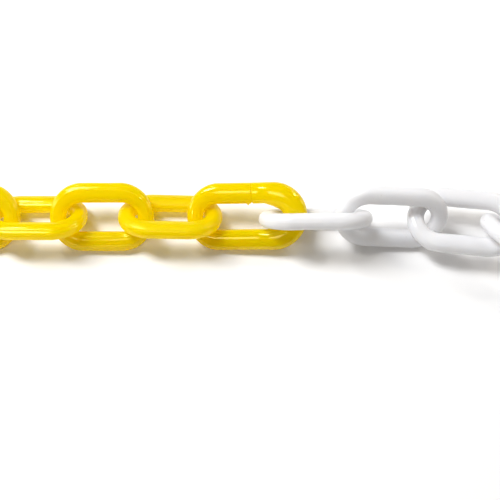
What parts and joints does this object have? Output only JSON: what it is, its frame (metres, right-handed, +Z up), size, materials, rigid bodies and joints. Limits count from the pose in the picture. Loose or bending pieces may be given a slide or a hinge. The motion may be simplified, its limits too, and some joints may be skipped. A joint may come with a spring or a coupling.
{
  "type": "plastic barrier chain",
  "caption": "Run of moulded plastic barrier chain: yellow links joined to white links by a split joining link, each link swinging in the next.",
  "frame": {"origin": "on the surface the chain lies on, under the middle of its overall box", "axes": "+X along the chain from the yellow end to the white end, +Y across it away from the viewer, +Z up"},
  "size_m": [0.465, 0.0634, 0.0316],
  "materials": {
    "yellow_plastic": "smooth moulded polyethylene, saturated warm yellow, soft gloss",
    "joining_yellow_plastic": "smooth moulded plastic, a slightly deeper warm yellow, soft gloss",
    "white_plastic": "smooth moulded polyethylene, slightly translucent cool white, soft gloss"
  },
  "bodies": {
    "yellow_link_6": {"yellow_link_6": "yellow_plastic"},
    "yellow_link_5": {"yellow_link_5": "yellow_plastic"},
    "yellow_link_4": {"yellow_link_4": "yellow_plastic"},
    "yellow_link_3": {"yellow_link_3": "yellow_plastic"},
    "yellow_link_2": {"yellow_link_2": "yellow_plastic"},
    "yellow_link_1": {"yellow_link_1": "yellow_plastic"},
    "joining_link": {"joining_link": "joining_yellow_plastic"},
    "white_link_1": {"white_link_1": "white_plastic"},
    "white_link_2": {"white_link_2": "white_plastic"},
    "white_link_3": {"white_link_3": "white_plastic"},
    "white_link_4": {"white_link_4": "white_plastic"},
    "white_link_5": {"white_link_5": "white_plastic"},
    "white_link_6": {"white_link_6": "white_plastic"}
  },
  "joints": [
    {"name": "yellow_link_1_swing", "type": "hinge", "parent": "joining_link", "child": "yellow_link_1", "pos_m": [-0.0185, 0.01612, 0.01053], "axis": [-0.068, -0.5435, 0.8366], "range_deg": [-40, 40]},
    {"name": "yellow_link_2_swing", "type": "hinge", "parent": "yellow_link_1", "child": "yellow_link_2", "pos_m": [-0.05229, 0.0161, 0.01106], "axis": [0.024, 0.5296, 0.8479], "range_deg": [-40, 40]},
    {"name": "yellow_link_3_swing", "type": "hinge", "parent": "yellow_link_2", "child": "yellow_link_3", "pos_m": [-0.08549, 0.0161, 0.01064], "axis": [0, -0.5519, 0.8339], "range_deg": [-40, 40]},
    {"name": "yellow_link_4_swing", "type": "hinge", "parent": "yellow_link_3", "child": "yellow_link_4", "pos_m": [-0.11869, 0.0161, 0.01106], "axis": [0, 0.5225, 0.8526], "range_deg": [-40, 40]},
    {"name": "yellow_link_5_swing", "type": "hinge", "parent": "yellow_link_4", "child": "yellow_link_5", "pos_m": [-0.15189, 0.0161, 0.01074], "axis": [0, -0.5519, 0.8339], "range_deg": [-40, 40]},
    {"name": "yellow_link_6_swing", "type": "hinge", "parent": "yellow_link_5", "child": "yellow_link_6", "pos_m": [-0.18509, 0.0161, 0.01106], "axis": [0, 0.5299, 0.848], "range_deg": [-40, 40]},
    {"name": "white_link_1_swing", "type": "hinge", "parent": "joining_link", "child": "white_link_1", "pos_m": [0.00772, 0.0132, 0.01468], "axis": [-0.068, -0.5435, 0.8366], "range_deg": [-25, 40]},
    {"name": "white_link_2_swing", "type": "hinge", "parent": "white_link_1", "child": "white_link_2", "pos_m": [0.04488, 0.01405, 0.01758], "axis": [-0.0137, 0.8526, 0.5223], "range_deg": [-12, 40]},
    {"name": "white_link_3_swing", "type": "hinge", "parent": "white_link_2", "child": "white_link_3", "pos_m": [0.08067, 0.01453, 0.01428], "axis": [0.0307, -0.8493, 0.527], "range_deg": [-40, 40]},
    {"name": "white_link_4_swing", "type": "hinge", "parent": "white_link_3", "child": "white_link_4", "pos_m": [0.11586, 0.01128, 0.01602], "axis": [-0.0326, -0.07, 0.997], "range_deg": [-40, 30]},
    {"name": "white_link_5_swing", "type": "hinge", "parent": "white_link_4", "child": "white_link_5", "pos_m": [0.14474, -0.01442, 0.01269], "axis": [0.5125, 0.6077, 0.6067], "range_deg": [-40, 40]},
    {"name": "white_link_6_swing", "type": "hinge", "parent": "white_link_5", "child": "white_link_6", "pos_m": [0.18124, -0.01837, 0.01157], "axis": [-0.0699, -0.6655, 0.7431], "range_deg": [-40, 40]}
  ]
}
